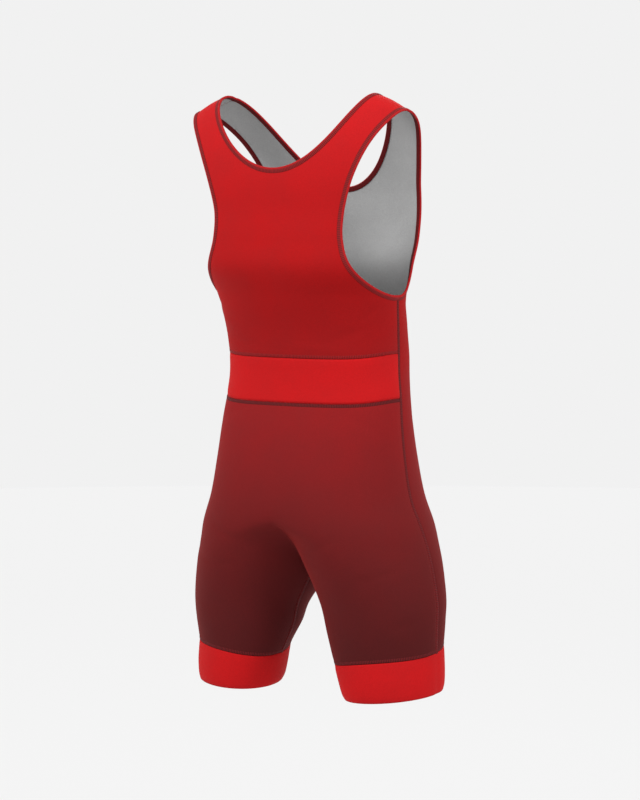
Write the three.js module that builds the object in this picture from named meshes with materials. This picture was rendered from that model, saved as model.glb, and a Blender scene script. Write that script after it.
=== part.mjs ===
// A wrestling singlet, worn with no wearer in it: one hollow garment from the
// shoulder straps to the leg hems. Millimetres, +Z up, front of the garment to -Y,
// wearer's left to +X. The origin is midway between the shoulders, at the height of
// the strap tops, where a wearer's shoulders hold the garment up.
import * as THREE from 'three';

// Driving sizes.
const WALL = 2; // thickness of the knit
const GAP = 0.3; // room left between two pieces that meet
const STRAP_ARCH = 150; // height over which a strap rounds over the shoulder
const SHOULDER_SLOPE = 0.52; // fall of the strap tops towards the arms
const SLOPE_FROM = 95; // the strap tops start to fall here, off the middle
const SLOPE_FULL = 155; // and fall at the full slope from here on
const NECK_HALF_WIDTH = 125; // neckline at the strap tops
const ARMHOLE_BOTTOM = -285;
const WAIST_BAND_TOP = -372;
const WAIST_BAND_BOTTOM = -434;
const HIP = -585; // the legs start to part below here
const CROTCH = -674;
const LEG_BAND_TOP = -793;
const HEM = -846;
const SHOULDER_SEAM = -2.3; // height of the shoulder seam, just forward of the top
const SIDE_RISE = 8; // how far the waist band climbs towards the side seam
const SIDE_RISE_SPREAD = 70; // height over which that climb fades out
const CUFF_LIFT = 9; // how far a leg band's top climbs at its back and front
const CUFF_LIFT_SPREAD = 36; // height over which that climb fades out

// Where each face's neckline and armhole run. neckDepth is the neckline's height at
// the middle and neckPower how square it is; the armhole is narrowest at narrowHeight,
// at narrowAngle round the section, and TOP_ANGLE is its angle on the shoulder.
const TOP_ANGLE = 58;
const BACK = { side: 1, neckDepth: -107, neckPower: 1.2, narrowHeight: -165, narrowAngle: 34 };
const FRONT = { side: -1, neckDepth: -134, neckPower: 0.98, narrowHeight: -130, narrowAngle: 43 };

// The general figure that the knit is stretched over, by height. Each half section is
// an oval round centre, radius wide; middle is its place front to back, with back and
// front its two depths. square is the oval's exponent, flat the exponent of its front,
// hollow how far the inner side turns in (1 on a leg), skew turns a thigh, tilt leans a
// section towards the arm side, shear towards the back of the inner side, and rise
// lifts its front edge.
const FIGURE = {
  columns: [
    'height', 'middle', 'back', 'front', 'centre', 'radius', 'square', 'flat',
    'hollow', 'skew', 'tilt', 'shear', 'rise',
  ],
  rows: [
    [0, 48, 90, 96, 0, 200, 2.5, 2.5, 0, 0, 0, 0, 0],
    [-30, 43, 90, 90, 0, 197, 2.5, 5, 0, 0, 0, 0, 0],
    [-70, 37, 90, 91, 0, 190, 2.5, 6, 0, 0, 0, 0, 0],
    [-120, 31, 89, 97, 0, 181, 2.5, 6, 0, 0, 0, 0, 0],
    [-165, 26, 91, 100, 0, 173, 2.5, 5.5, 0, 0, 0, 0, 0],
    [-205, 25, 97, 101, 0, 165, 2.4, 4.3, 0, -0.02, 0, 0, 0],
    [-245, 24, 104, 92, 0, 158, 2.25, 2.9, 0, -0.045, 0, 0, 0],
    [-285, 20, 93, 90, 0, 147, 2.1, 2.2, 0, -0.02, 0, 0, 0],
    [-330, 11, 86, 87, 0, 140, 2.3, 2.3, 0, 0, 0, 0, 0],
    [-372, 4, 86, 90, 0, 136.5, 2.4, 2.4, 0, 0, 0, 0, 0],
    [-403, 3, 86, 90, 0, 136.5, 2.4, 2.4, 0, 0, 0, 0, 0],
    [-434, 5, 87, 88, 0, 140.5, 2.4, 2.4, 0, 0, 0, 0, 0],
    [-470, 7, 96, 94, 4, 140, 2.4, 2.4, 0, 0, 0, 0, 0],
    [-520, 6, 109, 104, 15, 134, 2.35, 2.35, 0, 0, 0, 0, 0],
    [-569, 4, 118, 111, 35, 122, 2.25, 2.25, 0, 0, 0, 0, 0],
    [-610, 5, 118, 110, 60, 112, 2.15, 2.15, 0.1, 0.03, 0.02, 0.2, 0.02],
    [-638, 6, 113, 105, 80, 101, 2, 2, 0.42, 0.06, 0.04, 0.4, 0.04],
    [-674, 8, 102, 97, 95.5, 95.5, 2, 2, 1, 0.08, 0.06, 0.5, 0.06],
    [-722, 8, 87, 86, 113.5, 86, 2, 2, 1, 0.08, 0.08, 0.3, 0.08],
    [-755, 8, 80, 80, 118.5, 81, 2, 2, 1, 0.08, 0.1, 0.1, 0.1],
    [-793, 9.5, 72, 72, 124.5, 72.5, 2, 2, 1, 0.15, 0.1, 0, 0.17],
    [-823, 9.5, 70, 70, 129, 69.5, 2, 2, 1, 0.15, 0.08, 0, 0.11],
    [-839, 9, 68, 68, 131, 67, 2, 2, 1, 0.15, 0.06, 0, 0.1],
    [-846, 9, 65, 65, 132, 64.5, 2, 2, 1, 0.15, 0.05, 0, 0.1],
  ],
};

// How finely the pieces are cut up.
const COLUMNS = 10; // cells across half a panel
const ROW_APART = 3; // rows nearer than this are one
const STEP = 1e-3; // for slopes of the surface

// The binding folded over the neckline and the armholes: how far it reaches over the
// cloth, its rim past the edge, its own thickness, and its room inside and at the fold.
const BINDING = { reach: 6, rim: 1.5, cloth: 0.9, inside: 0.4, fold: 0.5 };

const COLOURS = {
  red: new THREE.Color('#c1272b'),
  maroon: new THREE.Color('#6e2428'),
  band: new THREE.Color('#c6242a'),
  thread: new THREE.Color('#7c2428'),
};

const degrees = (angle) => THREE.MathUtils.degToRad(angle);
const signedPower = (value, power) => Math.sign(value) * Math.abs(value) ** power;
const smooth = (t) => t * t * (3 - 2 * t);

// A column of the figure's table at a height, as a smooth curve through its rows.
function figureValue(column, height) {
  const at = FIGURE.columns.indexOf(column);
  const rows = FIGURE.rows;
  const last = rows.length - 1;
  const h = THREE.MathUtils.clamp(height, rows[last][0], 0);
  const slope = (i) => {
    const before = rows[Math.max(i - 1, 0)];
    const after = rows[Math.min(i + 1, last)];
    return (after[at] - before[at]) / (after[0] - before[0]);
  };
  let i = 0;
  while (i < last - 1 && rows[i + 1][0] > h) i += 1;
  const span = rows[i + 1][0] - rows[i][0];
  const t = (h - rows[i][0]) / span;
  const rise = smooth(t);
  const leaving = span * slope(i) * t * (1 - t) ** 2;
  const arriving = span * slope(i + 1) * t * t * (1 - t);
  return rows[i][at] * (1 - rise) + rows[i + 1][at] * rise + leaving - arriving;
}

// A place is given by reach, the way down from the shoulder top in millimetres, plus
// on the back and minus on the front, and by the angle round the half section.
const ARCH_REACH = (STRAP_ARCH * Math.PI) / 2;

function heightOf(reach) {
  const way = Math.abs(reach);
  if (way > ARCH_REACH) return -STRAP_ARCH - (way - ARCH_REACH);
  return -STRAP_ARCH * (1 - Math.cos(way / STRAP_ARCH));
}

function reachOf(face, height) {
  if (height < -STRAP_ARCH) return face.side * (ARCH_REACH - STRAP_ARCH - height);
  return face.side * STRAP_ARCH * Math.acos(1 + height / STRAP_ARCH);
}

// The drop of the strap tops towards the arms, which fades out down the strap.
function shoulderDrop(x, height) {
  const past = Math.max(0, Math.abs(x) - SLOPE_FROM);
  const bend = SLOPE_FULL - SLOPE_FROM;
  const fall = past < bend ? (past * past) / (2 * bend) : past - bend / 2;
  const fade = Math.max(0, 1 + height / (STRAP_ARCH * 1.1)) ** 1.5;
  return SHOULDER_SLOPE * fall * fade;
}

// The climb of the waist towards the side seams.
function sideRise(height, angle) {
  const away = (height - (WAIST_BAND_TOP + WAIST_BAND_BOTTOM) / 2) / SIDE_RISE_SPREAD;
  return SIDE_RISE * Math.sin(angle) ** 6 * Math.exp(-away * away);
}

// The climb of a leg band's top edge at the back and the front of the leg.
function cuffLift(height, angle) {
  const away = (height - LEG_BAND_TOP) / CUFF_LIFT_SPREAD;
  return CUFF_LIFT * Math.cos(angle) ** 2 * Math.exp(-away * away);
}

// The angle at which a half section meets the middle of the garment.
function middleAngle(height) {
  const centre = figureValue('centre', height);
  const radius = figureValue('radius', height);
  if (height <= CROTCH) return -Math.PI / 2;
  const share = THREE.MathUtils.clamp(centre / radius, 0, 1);
  return -Math.asin(share ** (figureValue('square', height) / 2));
}

// A point of the figure on the wearer's left half.
function figurePoint(reach, angle) {
  const height = heightOf(reach);
  const side = reach >= 0 ? 1 : -1;
  const value = (column) => figureValue(column, height);
  const power = 2 / value('square');
  const across = signedPower(Math.sin(angle), power) * value('radius');
  const x = value('centre') + across;
  const round = signedPower(Math.cos(angle), side > 0 ? power : 2 / value('flat'));
  let fullness = round;
  if (angle < 0) {
    const hollow = THREE.MathUtils.clamp(value('hollow'), 0, 1);
    const inner = middleAngle(height);
    const t = THREE.MathUtils.clamp(angle / Math.min(inner, -STEP), 0, 1);
    const bridged = 1 - 0.5 * hollow * smooth(t);
    fullness = (1 - hollow) * bridged + hollow * round;
  }
  const arch = Math.sin(Math.min(Math.abs(reach), ARCH_REACH) / STRAP_ARCH);
  const depth = side * value(side > 0 ? 'back' : 'front') * arch * fullness;
  const y = value('middle') + depth - value('skew') * across;
  const inward = ((1 - Math.sin(angle)) / 2) ** 2;
  const backwards = y - value('middle');
  const lean = value('tilt') * across + (value('shear') * inward - value('rise')) * backwards;
  const climb = sideRise(height, angle) + cuffLift(height, angle) - shoulderDrop(x, height);
  return new THREE.Vector3(x, y, height + climb + lean);
}

// The outward direction of the knit at a place.
function figureNormal(reach, angle) {
  const along = figurePoint(reach + STEP, angle).sub(figurePoint(reach - STEP, angle));
  const round = figurePoint(reach, angle + STEP).sub(figurePoint(reach, angle - STEP));
  return round.cross(along).normalize();
}

// Angle of the place on a half section that lies x off the middle.
function angleAcross(height, x) {
  const share = (x - figureValue('centre', height)) / figureValue('radius', height);
  return Math.asin(signedPower(share, figureValue('square', height) / 2));
}

// Where a panel starts at a height: the neckline, the middle or the inseam.
function innerAngle(face, height) {
  if (height <= face.neckDepth) return middleAngle(height);
  const share = (height / face.neckDepth) ** face.neckPower;
  const x = NECK_HALF_WIDTH * Math.sqrt(Math.max(0, 1 - share));
  return angleAcross(height, x);
}

// Where a panel ends at a height: the armhole or the side seam.
function outerAngle(face, height) {
  if (height <= ARMHOLE_BOTTOM) return degrees(90);
  if (height <= face.narrowHeight) {
    const down = (height - face.narrowHeight) / (ARMHOLE_BOTTOM - face.narrowHeight);
    return degrees(90 - (90 - face.narrowAngle) * Math.sqrt(Math.max(0, 1 - down * down)));
  }
  const up = (1 - height / face.narrowHeight) ** 1.5;
  return degrees(face.narrowAngle + (TOP_ANGLE - face.narrowAngle) * up);
}

// Heights from one to another, in equal steps or eased towards an end.
function heights(from, to, steps, ease = (t) => t) {
  return Array.from({ length: steps + 1 }, (_, i) => from + (to - from) * ease(i / steps));
}
const closerAtEnd = (t) => Math.sin((t * Math.PI) / 2);

// Rows joined from the top down. One that nearly repeats an earlier one is dropped.
function joinRows(...lists) {
  const kept = [];
  for (const height of lists.flat()) {
    if (kept.every((other) => Math.abs(other - height) > ROW_APART)) kept.push(height);
  }
  return kept.sort((a, b) => b - a);
}

// Rows of a face from the shoulder's top down to the armhole's bottom.
function strapRows(face) {
  const neck = heights(0, face.neckDepth, 9, smooth);
  const armhole = heights(face.narrowHeight, ARMHOLE_BOTTOM, 6, closerAtEnd);
  const between = heights(Math.min(face.neckDepth, face.narrowHeight), face.narrowHeight, 3);
  return joinRows(neck, [ARMHOLE_BOTTOM], armhole, between);
}

// Rows that the front and the back share below the armholes.
const WAIST_ROWS = heights(ARMHOLE_BOTTOM, WAIST_BAND_TOP, 3);
const BAND_ROWS = heights(WAIST_BAND_TOP, WAIST_BAND_BOTTOM, 2);
const SEAT_ROWS = heights(WAIST_BAND_BOTTOM, HIP, 4);
const CROTCH_ROWS = heights(HIP, CROTCH, 5, closerAtEnd);
const LEG_ROWS = heights(CROTCH, LEG_BAND_TOP, 5, (t) => t ** 1.4);
const CUFF_ROWS = [LEG_BAND_TOP, -816, -839, HEM];

const SIDE = degrees(90);
const seamReach = reachOf(FRONT, SHOULDER_SEAM);

// The reaches of a face's rows from the shoulder seam to the armhole's bottom. The
// back runs over the shoulder's top to the seam.
function strapReaches(face) {
  const rows = strapRows(face).map((height) => reachOf(face, height));
  if (face === BACK) return [seamReach + GAP / 2, ...rows];
  return [seamReach - GAP / 2, ...rows.filter((reach) => reach < seamReach - 2 * GAP)];
}

const faceAt = (reach) => (reach < 0 ? FRONT : BACK);

// A place on the left half: its point and outward direction. On the middle line both
// are kept in the middle plane, and both faces share one direction at their seams.
function placeAt(reach, angle, onMiddle = false) {
  const onSeam = Math.abs(Math.abs(angle) - SIDE) < 1e-6;
  const point = figurePoint(reach, angle);
  const normal = figureNormal(onSeam ? Math.abs(reach) : reach, angle);
  if (onMiddle) {
    point.x = 0;
    normal.x = 0;
    normal.normalize();
  }
  return { reach, angle, point, normal };
}

const mirrored = ({ point, normal, ...rest }) => ({
  ...rest,
  point: new THREE.Vector3(-point.x, point.y, point.z),
  normal: new THREE.Vector3(-normal.x, normal.y, normal.z),
});

// The place a given way into the cloth from an edge.
function placeWithin({ reach, angle, point }, inwards, length) {
  const down = figurePoint(reach + STEP, angle).sub(point).divideScalar(STEP);
  const round = figurePoint(reach, angle + STEP).sub(point).divideScalar(STEP);
  const [dd, dr, rr] = [down.dot(down), down.dot(round), round.dot(round)];
  const [wantDown, wantRound] = [inwards.dot(down) * length, inwards.dot(round) * length];
  const scale = 1 / (dd * rr - dr * dr);
  const newReach = reach + (wantDown * rr - wantRound * dr) * scale;
  const newAngle = angle + (wantRound * dd - wantDown * dr) * scale;
  return { reach: newReach, angle: newAngle };
}

// A cut edge as a run of stops, each with its place, the place just within it, and the
// way out of the cloth. turn is +1 or -1, for the side of the run that is open.
function cutEdge(reaches, edgeAngle, turn, closed) {
  const count = reaches.length;
  const places = reaches.map((reach) => {
    const face = faceAt(reach);
    const onMiddle = !closed && heightOf(reach) <= face.neckDepth + STEP;
    return placeAt(reach, edgeAngle(face, heightOf(reach)), onMiddle);
  });
  return places.map((edge, i) => {
    const before = closed || i > 0 ? places[(i + count - 1) % count] : mirrored(places[1]);
    const after = closed || i < count - 1 ? places[(i + 1) % count] : mirrored(places[count - 2]);
    const along = after.point.clone().sub(before.point).normalize();
    const out = along.cross(edge.normal).normalize().multiplyScalar(turn);
    const onMiddle = edge.point.x === 0;
    const deep = placeWithin(edge, out.clone().multiplyScalar(-1), BINDING.reach);
    if (onMiddle || edge.angle === SIDE) deep.angle = edge.angle;
    if (Math.abs(edge.reach - seamReach) < GAP) deep.reach = edge.reach;
    return { edge, within: placeAt(deep.reach, deep.angle, onMiddle), out };
  });
}

const backStrap = strapReaches(BACK);
const frontStrap = strapReaches(FRONT);
const aboveNeck = (reach) => heightOf(reach) >= faceAt(reach).neckDepth - STEP;

const armholeEdge = cutEdge([...backStrap.toReversed(), ...frontStrap.slice(0, -1)], outerAngle, -1, true);
const neckEdge = cutEdge(
  [...backStrap.filter(aboveNeck).toReversed(), ...frontStrap.filter(aboveNeck)],
  innerAngle,
  1,
  false,
);
const findStop = (run, reach) => run.find(({ edge }) => Math.abs(edge.reach - reach) < STEP);

// A patch of surface: points, their outward directions, and triangles.
function newPatch() {
  return { points: [], normals: [], triangles: [], found: new Map() };
}

function addPoint(patch, { point, normal }) {
  const key = point.toArray().map((v) => Math.round(v * 1000)).join(',');
  if (!patch.found.has(key)) {
    patch.found.set(key, patch.points.length);
    patch.points.push(point);
    patch.normals.push(normal);
  }
  return patch.found.get(key);
}

// The two triangles of a cell, cut between its first and third corners.
function splitCell([a, b, c, d], flip) {
  return flip ? [[a, c, b], [a, d, c]] : [[a, b, c], [a, c, d]];
}

// Adds a grid of places to a patch. Its cells are cut along their shorter diagonal,
// or, under a binding, as the binding's are.
function addGrid(patch, grid, flip, underBinding = false) {
  const ids = grid.map((row) => row.map((place) => addPoint(patch, place)));
  const length = (from, to) => patch.points[from].distanceTo(patch.points[to]);
  for (let i = 0; i + 1 < ids.length; i += 1) {
    for (let j = 0; j + 1 < ids[i].length; j += 1) {
      const ring = [ids[i][j], ids[i + 1][j], ids[i + 1][j + 1], ids[i][j + 1]];
      const turned = !underBinding && length(ring[1], ring[3]) < length(ring[0], ring[2]);
      if (turned) ring.push(ring.shift());
      const pair = splitCell(ring, flip);
      patch.triangles.push(...pair.filter((triangle) => new Set(triangle).size === 3));
    }
  }
}

// A grid on the left half and its mirror image on the right.
function addBothHalves(patch, grid, flip, underBinding) {
  addGrid(patch, grid, flip, underBinding);
  addGrid(patch, grid.map((row) => row.map(mirrored)), !flip, underBinding);
}

// A place moved half a gap into its own face, off the side seam or the inseam.
function offSeam(face, place) {
  const reach = face.side * Math.abs(place.reach);
  const inwards = figurePoint(reach, place.angle - Math.sign(place.angle) * STEP);
  const way = inwards.sub(figurePoint(reach, place.angle));
  if (place.point.x === 0) way.x = 0;
  const point = place.point.clone().addScaledVector(way.normalize(), GAP / 2);
  return { ...place, point };
}

// Where a row that ends at the armhole leaves the middle: its rows lie closer together
// at the armhole's bottom than at the middle.
function fannedReach(face, height) {
  const down = (height - face.narrowHeight) / (ARMHOLE_BOTTOM - face.narrowHeight);
  const share = Math.asin(THREE.MathUtils.clamp(down, 0, 1)) / SIDE;
  const bottom = face.side * armholeEdge[0].within.reach;
  const top = reachOf(face, face.narrowHeight);
  return top + (bottom - top) * share;
}

// One row across half a panel, from the neckline, middle or inseam to the armhole or
// side seam. Where there is a cut edge, the row stops at the place just within it.
function panelRow(face, reach) {
  const height = heightOf(reach);
  const atCorner = Math.abs(reach - reachOf(face, ARMHOLE_BOTTOM)) < STEP;
  const neck = aboveNeck(reach) ? findStop(neckEdge, reach) : undefined;
  const armhole = atCorner ? armholeEdge[0] : findStop(armholeEdge, reach);
  let to = armhole?.within ?? placeAt(reach, SIDE);
  const toReach = atCorner ? face.side * to.reach : to.reach;
  const fromReach = armhole ? fannedReach(face, height) : reach;
  const onMiddle = height > CROTCH - STEP;
  let from = neck?.within ?? placeAt(fromReach, middleAngle(heightOf(fromReach)), onMiddle);
  if (height < CROTCH + STEP) from = offSeam(face, from);
  if (!armhole || atCorner) to = offSeam(face, to);
  const between = Array.from({ length: COLUMNS - 1 }, (_, j) => {
    const share = (j + 1) / COLUMNS;
    const placeReach = from.reach + (toReach - from.reach) * share;
    return placeAt(placeReach, from.angle + (to.angle - from.angle) * share);
  });
  return [from, ...between, to];
}

// The strips of cloth between a run of stops and the places within them.
function edgeStrip(face, run, reaches) {
  const corner = reachOf(face, ARMHOLE_BOTTOM);
  return reaches.map((reach) => {
    const atCorner = run === armholeEdge && Math.abs(reach - corner) < STEP;
    const { edge, within } = atCorner ? armholeEdge[0] : findStop(run, reach);
    return atCorner ? [offSeam(face, within), offSeam(face, edge)] : [within, edge];
  });
}

// A panel of one face. Its strap rows, if any, come before its rows by height, and a
// first or last row that meets another piece stands half a gap back.
function panelPatch(face, strap, rowHeights) {
  const below = rowHeights.map((height) => reachOf(face, height));
  if (!strap.length) below[0] += (face.side * GAP) / 2;
  below[below.length - 1] -= (face.side * GAP) / 2;
  const patch = newPatch();
  const flip = face === BACK;
  addBothHalves(patch, [...strap, ...below].map((reach) => panelRow(face, reach)), flip);
  if (strap.length) {
    addBothHalves(patch, edgeStrip(face, armholeEdge, strap), flip, true);
    addBothHalves(patch, edgeStrip(face, neckEdge, strap.filter(aboveNeck)), !flip, true);
  }
  return patch;
}

// A closed wall: the patch, its copy moved in by the thickness, and the rims between.
function wallGeometry({ points, normals, triangles }) {
  const count = points.length;
  const inner = points.map((point, i) => point.clone().addScaledVector(normals[i], -WALL));
  const faces = [];
  const open = new Map();
  for (const [a, b, c] of triangles) {
    faces.push([a, b, c], [a + count, c + count, b + count]);
    for (const [from, to] of [[a, b], [b, c], [c, a]]) {
      if (!open.delete(`${to},${from}`)) open.set(`${from},${to}`, [from, to]);
    }
  }
  // The rims are cut from the higher point of the outside, as their neighbours' are.
  const rank = ({ x, y, z }) => z + y * 0.01 + Math.abs(x) * 0.001;
  for (const [from, to] of open.values()) {
    const ring = [to, from, from + count, to + count];
    if (rank(points[from]) > rank(points[to])) ring.push(ring.shift());
    faces.push(...splitCell(ring, false));
  }
  return solidGeometry([...points, ...inner], faces);
}

function solidGeometry(points, faces) {
  const geometry = new THREE.BufferGeometry();
  const positions = points.flatMap((point) => point.toArray());
  geometry.setAttribute('position', new THREE.Float32BufferAttribute(positions, 3));
  geometry.setIndex(faces.flat());
  geometry.computeVertexNormals();
  return geometry;
}

// A leg band: a tube round one leg, the wearer's left or, mirrored, the right.
function legBandGeometry(isLeft) {
  const rows = CUFF_ROWS.map((height, i) => (i === 0 ? height - GAP / 2 : height));
  const grid = rows.map((height) =>
    Array.from({ length: 2 * COLUMNS + 1 }, (_, j) => {
      const face = j <= COLUMNS ? BACK : FRONT;
      const share = j <= COLUMNS ? j / COLUMNS : 2 - j / COLUMNS;
      const place = placeAt(reachOf(face, height), -SIDE + 2 * SIDE * share);
      return isLeft ? place : mirrored(place);
    }),
  );
  const patch = newPatch();
  addGrid(patch, grid, isLeft);
  return wallGeometry(patch);
}

const offShoulderSeam = ({ edge }) => Math.abs(edge.reach - seamReach);

// A binding folded over a cut edge, along a closed run of stops. Its section is a U
// that holds the edge of the wall, each corner a way out and a height over the knit.
// openInside says that the run goes round with its opening on the inner hand.
function bindingGeometry(run, { isLeft = true, openInside = false } = {}) {
  const { rim, cloth, inside, fold } = BINDING;
  const over = GAP + cloth;
  const under = -WALL - inside;
  const section = [
    { deep: true, height: GAP },
    { deep: true, height: over },
    { out: rim, height: over },
    { out: rim, height: under - cloth },
    { deep: true, height: under - cloth },
    { deep: true, height: under },
    { out: fold, height: under },
    { out: fold, height: GAP },
  ];
  const points = run.flatMap(({ edge, within, out }) =>
    section.map((corner) => {
      const { point, normal } = corner.deep ? within : edge;
      const moved = point.clone().addScaledVector(normal, corner.height);
      if (!corner.deep) moved.addScaledVector(out, corner.out);
      if (!isLeft) moved.x *= -1;
      return moved;
    }),
  );
  const sides = section.length;
  const faces = [];
  run.forEach((_, i) => {
    const next = (i + 1) % run.length;
    const nearer = offShoulderSeam(run[i]) < offShoulderSeam(run[next]);
    for (let s = 0; s < sides; s += 1) {
      const t = (s + 1) % sides;
      const ring = [i * sides + s, i * sides + t, next * sides + t, next * sides + s];
      const asPanel = nearer === Boolean(section[s].deep);
      if (!asPanel) ring.push(ring.shift());
      faces.push(...splitCell(ring, isLeft !== openInside));
    }
  });
  return solidGeometry(points, faces);
}

// The whole neckline: the left half's run and its mirror image back to the start.
function wholeNeckline() {
  const rightHalf = neckEdge.slice(1, -1).toReversed().map(({ edge, within, out }) => ({
    edge: mirrored(edge),
    within: mirrored(within),
    out: new THREE.Vector3(-out.x, out.y, out.z),
  }));
  return [...neckEdge, ...rightHalf];
}

const singlet = new THREE.Group();

function addPiece(name, geometry, color) {
  const material = new THREE.MeshStandardMaterial({ color, roughness: 0.85, metalness: 0 });
  const mesh = new THREE.Mesh(geometry, material);
  mesh.name = name;
  singlet.add(mesh);
}

const legsAndSeat = joinRows(SEAT_ROWS, LEG_ROWS, CROTCH_ROWS);
const waistDown = joinRows(WAIST_ROWS, BAND_ROWS, legsAndSeat);
const front = panelPatch(FRONT, frontStrap, waistDown.slice(1));
const upperBack = panelPatch(BACK, backStrap, WAIST_ROWS.slice(1));

addPiece('front_panel', wallGeometry(front), COLOURS.red);
addPiece('upper_back_panel', wallGeometry(upperBack), COLOURS.red);
addPiece('waist_band', wallGeometry(panelPatch(BACK, [], BAND_ROWS)), COLOURS.band);
addPiece('lower_back_panel', wallGeometry(panelPatch(BACK, [], legsAndSeat)), COLOURS.maroon);
addPiece('leg_band_left', legBandGeometry(true), COLOURS.band);
addPiece('leg_band_right', legBandGeometry(false), COLOURS.band);
addPiece('neck_binding', bindingGeometry(wholeNeckline(), { openInside: true }), COLOURS.thread);
addPiece('armhole_binding_left', bindingGeometry(armholeEdge), COLOURS.thread);
addPiece('armhole_binding_right', bindingGeometry(armholeEdge, { isLeft: false }), COLOURS.thread);

export default singlet;
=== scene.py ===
# %% [markdown]
# # A wrestling singlet in stretch knit
# The garment is one hollow skin of knit with narrow bindings, flat seams and rows of
# stitching on it. It is worn with nobody in it, so it keeps the filled-out form that its
# cut takes on a general figure. This lesson builds each sewn piece as a thin sheet over
# that form, in metres, +Z up, with the garment's back towards +Y.

import math

import bmesh
import bpy
import numpy as np
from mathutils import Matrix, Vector


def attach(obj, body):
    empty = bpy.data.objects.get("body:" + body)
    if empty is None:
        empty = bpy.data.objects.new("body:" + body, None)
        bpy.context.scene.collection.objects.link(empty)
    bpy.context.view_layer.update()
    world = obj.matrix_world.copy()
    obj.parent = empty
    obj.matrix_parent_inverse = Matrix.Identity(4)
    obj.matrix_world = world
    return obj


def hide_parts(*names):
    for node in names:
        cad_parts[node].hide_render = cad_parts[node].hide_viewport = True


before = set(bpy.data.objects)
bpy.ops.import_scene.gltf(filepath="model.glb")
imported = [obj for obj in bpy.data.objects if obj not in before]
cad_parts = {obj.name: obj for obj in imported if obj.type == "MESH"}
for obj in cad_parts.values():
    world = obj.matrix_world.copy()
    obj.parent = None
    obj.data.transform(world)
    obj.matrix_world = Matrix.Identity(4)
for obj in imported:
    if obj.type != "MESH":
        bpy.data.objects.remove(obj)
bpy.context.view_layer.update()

# %% [markdown]
# ## The form
# A stretch garment takes its shape from the figure it is pulled over. The form here is a
# stack of half sections, one oval each, with the sizes that the cut gives at each height.
# A smooth curve through the rows of a short table is easy to read and to change.

# %% Sizes of the garment, in millimetres
MM = 0.001
STRAP_ARCH = 150.0
SHOULDER_SLOPE = 0.52
SLOPE_FROM = 95.0
SLOPE_FULL = 155.0
NECK_HALF_WIDTH = 125.0
ARMHOLE_BOTTOM = -285.0
WAIST_BAND_TOP = -372.0
WAIST_BAND_BOTTOM = -434.0
CROTCH = -674.0
LEG_BAND_TOP = -793.0
HEM = -846.0
SHOULDER_SEAM = -2.3
SIDE_RISE = 8.0
SIDE_RISE_SPREAD = 70.0
CUFF_LIFT = 9.0
CUFF_LIFT_SPREAD = 36.0
TOP_ANGLE = 58
BACK = {"side": 1, "neck_depth": -107, "neck_power": 1.2, "narrow_height": -165, "narrow_angle": 34}
FRONT = {"side": -1, "neck_depth": -134, "neck_power": 0.98, "narrow_height": -130, "narrow_angle": 43}
SECTION = (
    "height", "middle", "back", "front", "centre", "radius", "square", "flat",
    "hollow", "skew", "tilt", "shear", "rise",
)
SECTIONS = np.array([
    (0, 48, 90, 96, 0, 200, 2.5, 2.5, 0, 0, 0, 0, 0),
    (-30, 43, 90, 90, 0, 197, 2.5, 5, 0, 0, 0, 0, 0),
    (-70, 37, 90, 91, 0, 190, 2.5, 6, 0, 0, 0, 0, 0),
    (-120, 31, 89, 97, 0, 181, 2.5, 6, 0, 0, 0, 0, 0),
    (-165, 26, 91, 100, 0, 173, 2.5, 5.5, 0, 0, 0, 0, 0),
    (-205, 25, 97, 101, 0, 165, 2.4, 4.3, 0, -0.02, 0, 0, 0),
    (-245, 24, 104, 92, 0, 158, 2.25, 2.9, 0, -0.045, 0, 0, 0),
    (-285, 20, 93, 90, 0, 147, 2.1, 2.2, 0, -0.02, 0, 0, 0),
    (-330, 11, 86, 87, 0, 140, 2.3, 2.3, 0, 0, 0, 0, 0),
    (-372, 4, 86, 90, 0, 136.5, 2.4, 2.4, 0, 0, 0, 0, 0),
    (-403, 3, 86, 90, 0, 136.5, 2.4, 2.4, 0, 0, 0, 0, 0),
    (-434, 5, 87, 88, 0, 140.5, 2.4, 2.4, 0, 0, 0, 0, 0),
    (-470, 7, 96, 94, 4, 140, 2.4, 2.4, 0, 0, 0, 0, 0),
    (-520, 6, 109, 104, 15, 134, 2.35, 2.35, 0, 0, 0, 0, 0),
    (-569, 4, 118, 111, 35, 122, 2.25, 2.25, 0, 0, 0, 0, 0),
    (-610, 5, 118, 110, 60, 112, 2.15, 2.15, 0.1, 0.03, 0.02, 0.2, 0.02),
    (-638, 6, 113, 105, 80, 101, 2, 2, 0.42, 0.06, 0.04, 0.4, 0.04),
    (-674, 8, 102, 97, 95.5, 95.5, 2, 2, 1, 0.08, 0.06, 0.5, 0.06),
    (-722, 8, 87, 86, 113.5, 86, 2, 2, 1, 0.08, 0.08, 0.3, 0.08),
    (-755, 8, 80, 80, 118.5, 81, 2, 2, 1, 0.08, 0.1, 0.1, 0.1),
    (-793, 9.5, 72, 72, 124.5, 72.5, 2, 2, 1, 0.15, 0.1, 0, 0.17),
    (-823, 9.5, 70, 70, 129, 69.5, 2, 2, 1, 0.15, 0.08, 0, 0.11),
    (-839, 9, 68, 68, 131, 67, 2, 2, 1, 0.15, 0.06, 0, 0.1),
    (-846, 9, 65, 65, 132, 64.5, 2, 2, 1, 0.15, 0.05, 0, 0.1),
])
print(len(SECTIONS), "sections")


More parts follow.
